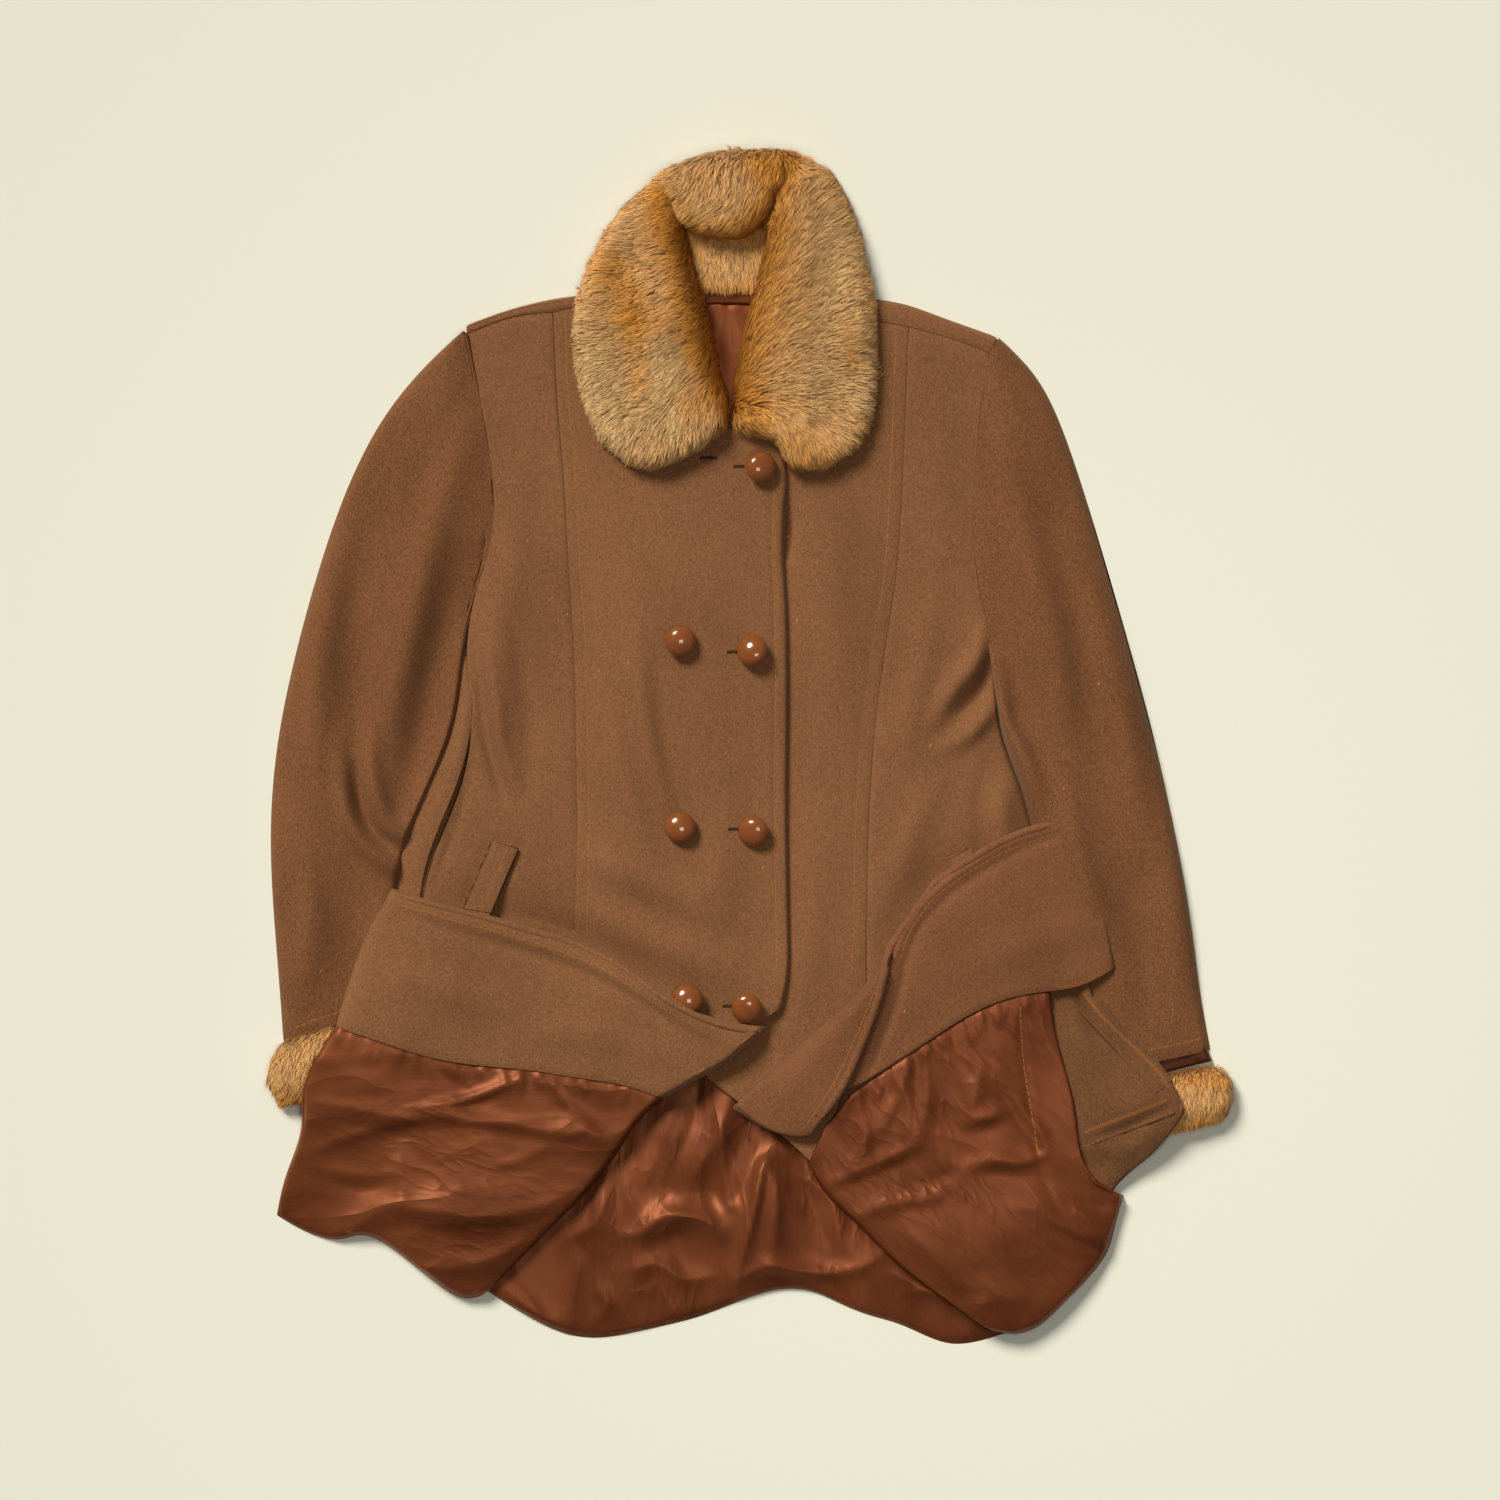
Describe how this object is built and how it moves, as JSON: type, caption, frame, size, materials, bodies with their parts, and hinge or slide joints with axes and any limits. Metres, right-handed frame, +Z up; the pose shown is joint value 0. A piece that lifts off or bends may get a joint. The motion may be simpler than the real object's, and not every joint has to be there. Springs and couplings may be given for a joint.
{
  "type": "wool coat",
  "caption": "Double-breasted camel wool coat with a fur collar and cuffs, laid flat on its back with the skirt fronts folded open over a satin lining.",
  "frame": {"origin": "middle of the laid coat's outline, on the surface that it lies on", "axes": "+X to the wearer's left, +Y from the hem to the collar, +Z up from the surface, the coat lying on its back"},
  "size_m": [0.788, 0.9808, 0.0436],
  "materials": {
    "wool": "camel brown wool coating with a short nap",
    "lining": "rust brown satin lining",
    "fur": "golden tan short pile fur",
    "buttons": "glossy caramel domes"
  },
  "bodies": {
    "root": {"back": "wool", "back_shoulder_right": "wool", "back_shoulder_left": "wool", "right_under_sleeve": "wool", "left_under_sleeve": "wool", "right_sleeve": "wool", "left_sleeve": "wool", "left_centre_front": "wool", "left_side_front": "wool", "right_centre_front": "wool", "right_side_front": "wool", "right_side_back": "wool", "welt_right": "wool", "welt_left": "wool", "right_turned_shell": "wool", "right_facing": "wool", "left_turned_shell": "wool", "left_facing": "wool", "left_front_edge_turn": "wool", "left_side_seam_allowance": "wool", "left_hem_allowance": "wool", "neck_lining": "lining", "back_lining": "lining", "right_front_lining": "lining", "left_front_lining": "lining", "left_sleeve_lining": "lining", "neck_binding": "lining", "collar_stand": "fur", "collar_back": "fur", "collar_right": "fur", "collar_left": "fur", "cuff_right": "fur", "cuff_left": "fur", "button_1": "buttons", "button_2": "buttons", "button_3": "buttons", "button_4": "buttons", "button_5": "buttons", "button_6": "buttons", "button_7": "buttons"}
  },
  "joints": []
}
